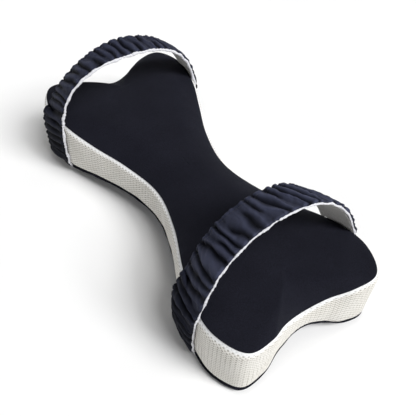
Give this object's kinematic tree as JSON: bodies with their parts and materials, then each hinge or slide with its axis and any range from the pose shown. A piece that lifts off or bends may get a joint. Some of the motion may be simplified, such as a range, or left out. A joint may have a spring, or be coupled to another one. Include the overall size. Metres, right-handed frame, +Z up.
{
  "type": "chair headrest attachment",
  "caption": "Bone-shaped foam headrest cushion with a knit top, mesh side wall, zipped underside and gathered elastic straps that loop over its face to hold it to a chair.",
  "frame": {"origin": "centre of the cushion's footprint, at the level of the flat of its underside", "axes": "+X along the bone-shaped cushion towards the end with the taller strap, +Y across it, +Z up out of the top face that the straps arch over"},
  "size_m": [0.3988, 0.1956, 0.1468],
  "materials": {
    "navy_knit": "smooth fine warp knit, matt",
    "white_mesh": "open spacer mesh in diamond rows",
    "gathered_navy": "gathered woven cover with a slight sheen",
    "white_thread": "dense overlock thread",
    "elastic": "woven elastic webbing",
    "foam": "open-cell memory foam",
    "zip_tape": "woven tape",
    "nylon_coil": "nylon coil",
    "dark_metal": "gunmetal plating"
  },
  "bodies": {
    "root": {"foam_core": "foam", "top_panel": "navy_knit", "gusset": "white_mesh", "bottom_panel": "navy_knit", "near_strap_leg_left": "gathered_navy", "near_strap_leg_right": "gathered_navy", "far_strap_leg_left": "gathered_navy", "far_strap_leg_right": "gathered_navy", "zip_tape_left": "zip_tape", "zip_tape_right": "zip_tape", "zip_coil_left": "nylon_coil", "zip_coil_right": "nylon_coil", "zip_closed_stop": "dark_metal", "zip_open_stop": "dark_metal"},
    "near_loop": {"near_strap_cover": "gathered_navy", "near_strap_elastic": "elastic", "near_strap_lining": "white_mesh", "near_strap_edging": "white_thread"},
    "far_loop": {"far_strap_cover": "gathered_navy", "far_strap_elastic": "elastic", "far_strap_lining": "white_mesh", "far_strap_edging": "white_thread"},
    "slider": {"zip_slider": "dark_metal"},
    "pull_tab": {"zip_pull_tab": "dark_metal"}
  },
  "joints": [
    {"name": "near_strap_fold", "type": "hinge", "parent": "root", "child": "near_loop", "pos_m": [0.124, 0, 0.075], "axis": [0, 1, 0], "range_deg": [-45, 45], "stiffness_Nm_per_rad": 0.08},
    {"name": "far_strap_fold", "type": "hinge", "parent": "root", "child": "far_loop", "pos_m": [-0.144, 0, 0.075], "axis": [0, 1, 0], "range_deg": [-45, 45], "stiffness_Nm_per_rad": 0.08},
    {"name": "zip_slide", "type": "slide", "parent": "root", "child": "slider", "axis": [-1, 0, 0], "range_m": [0, 0.195]},
    {"name": "pull_tab_swing", "type": "hinge", "parent": "slider", "child": "pull_tab", "pos_m": [0.1, 0, 0.00075], "axis": [0, -1, 0], "range_deg": [0, 170]}
  ]
}
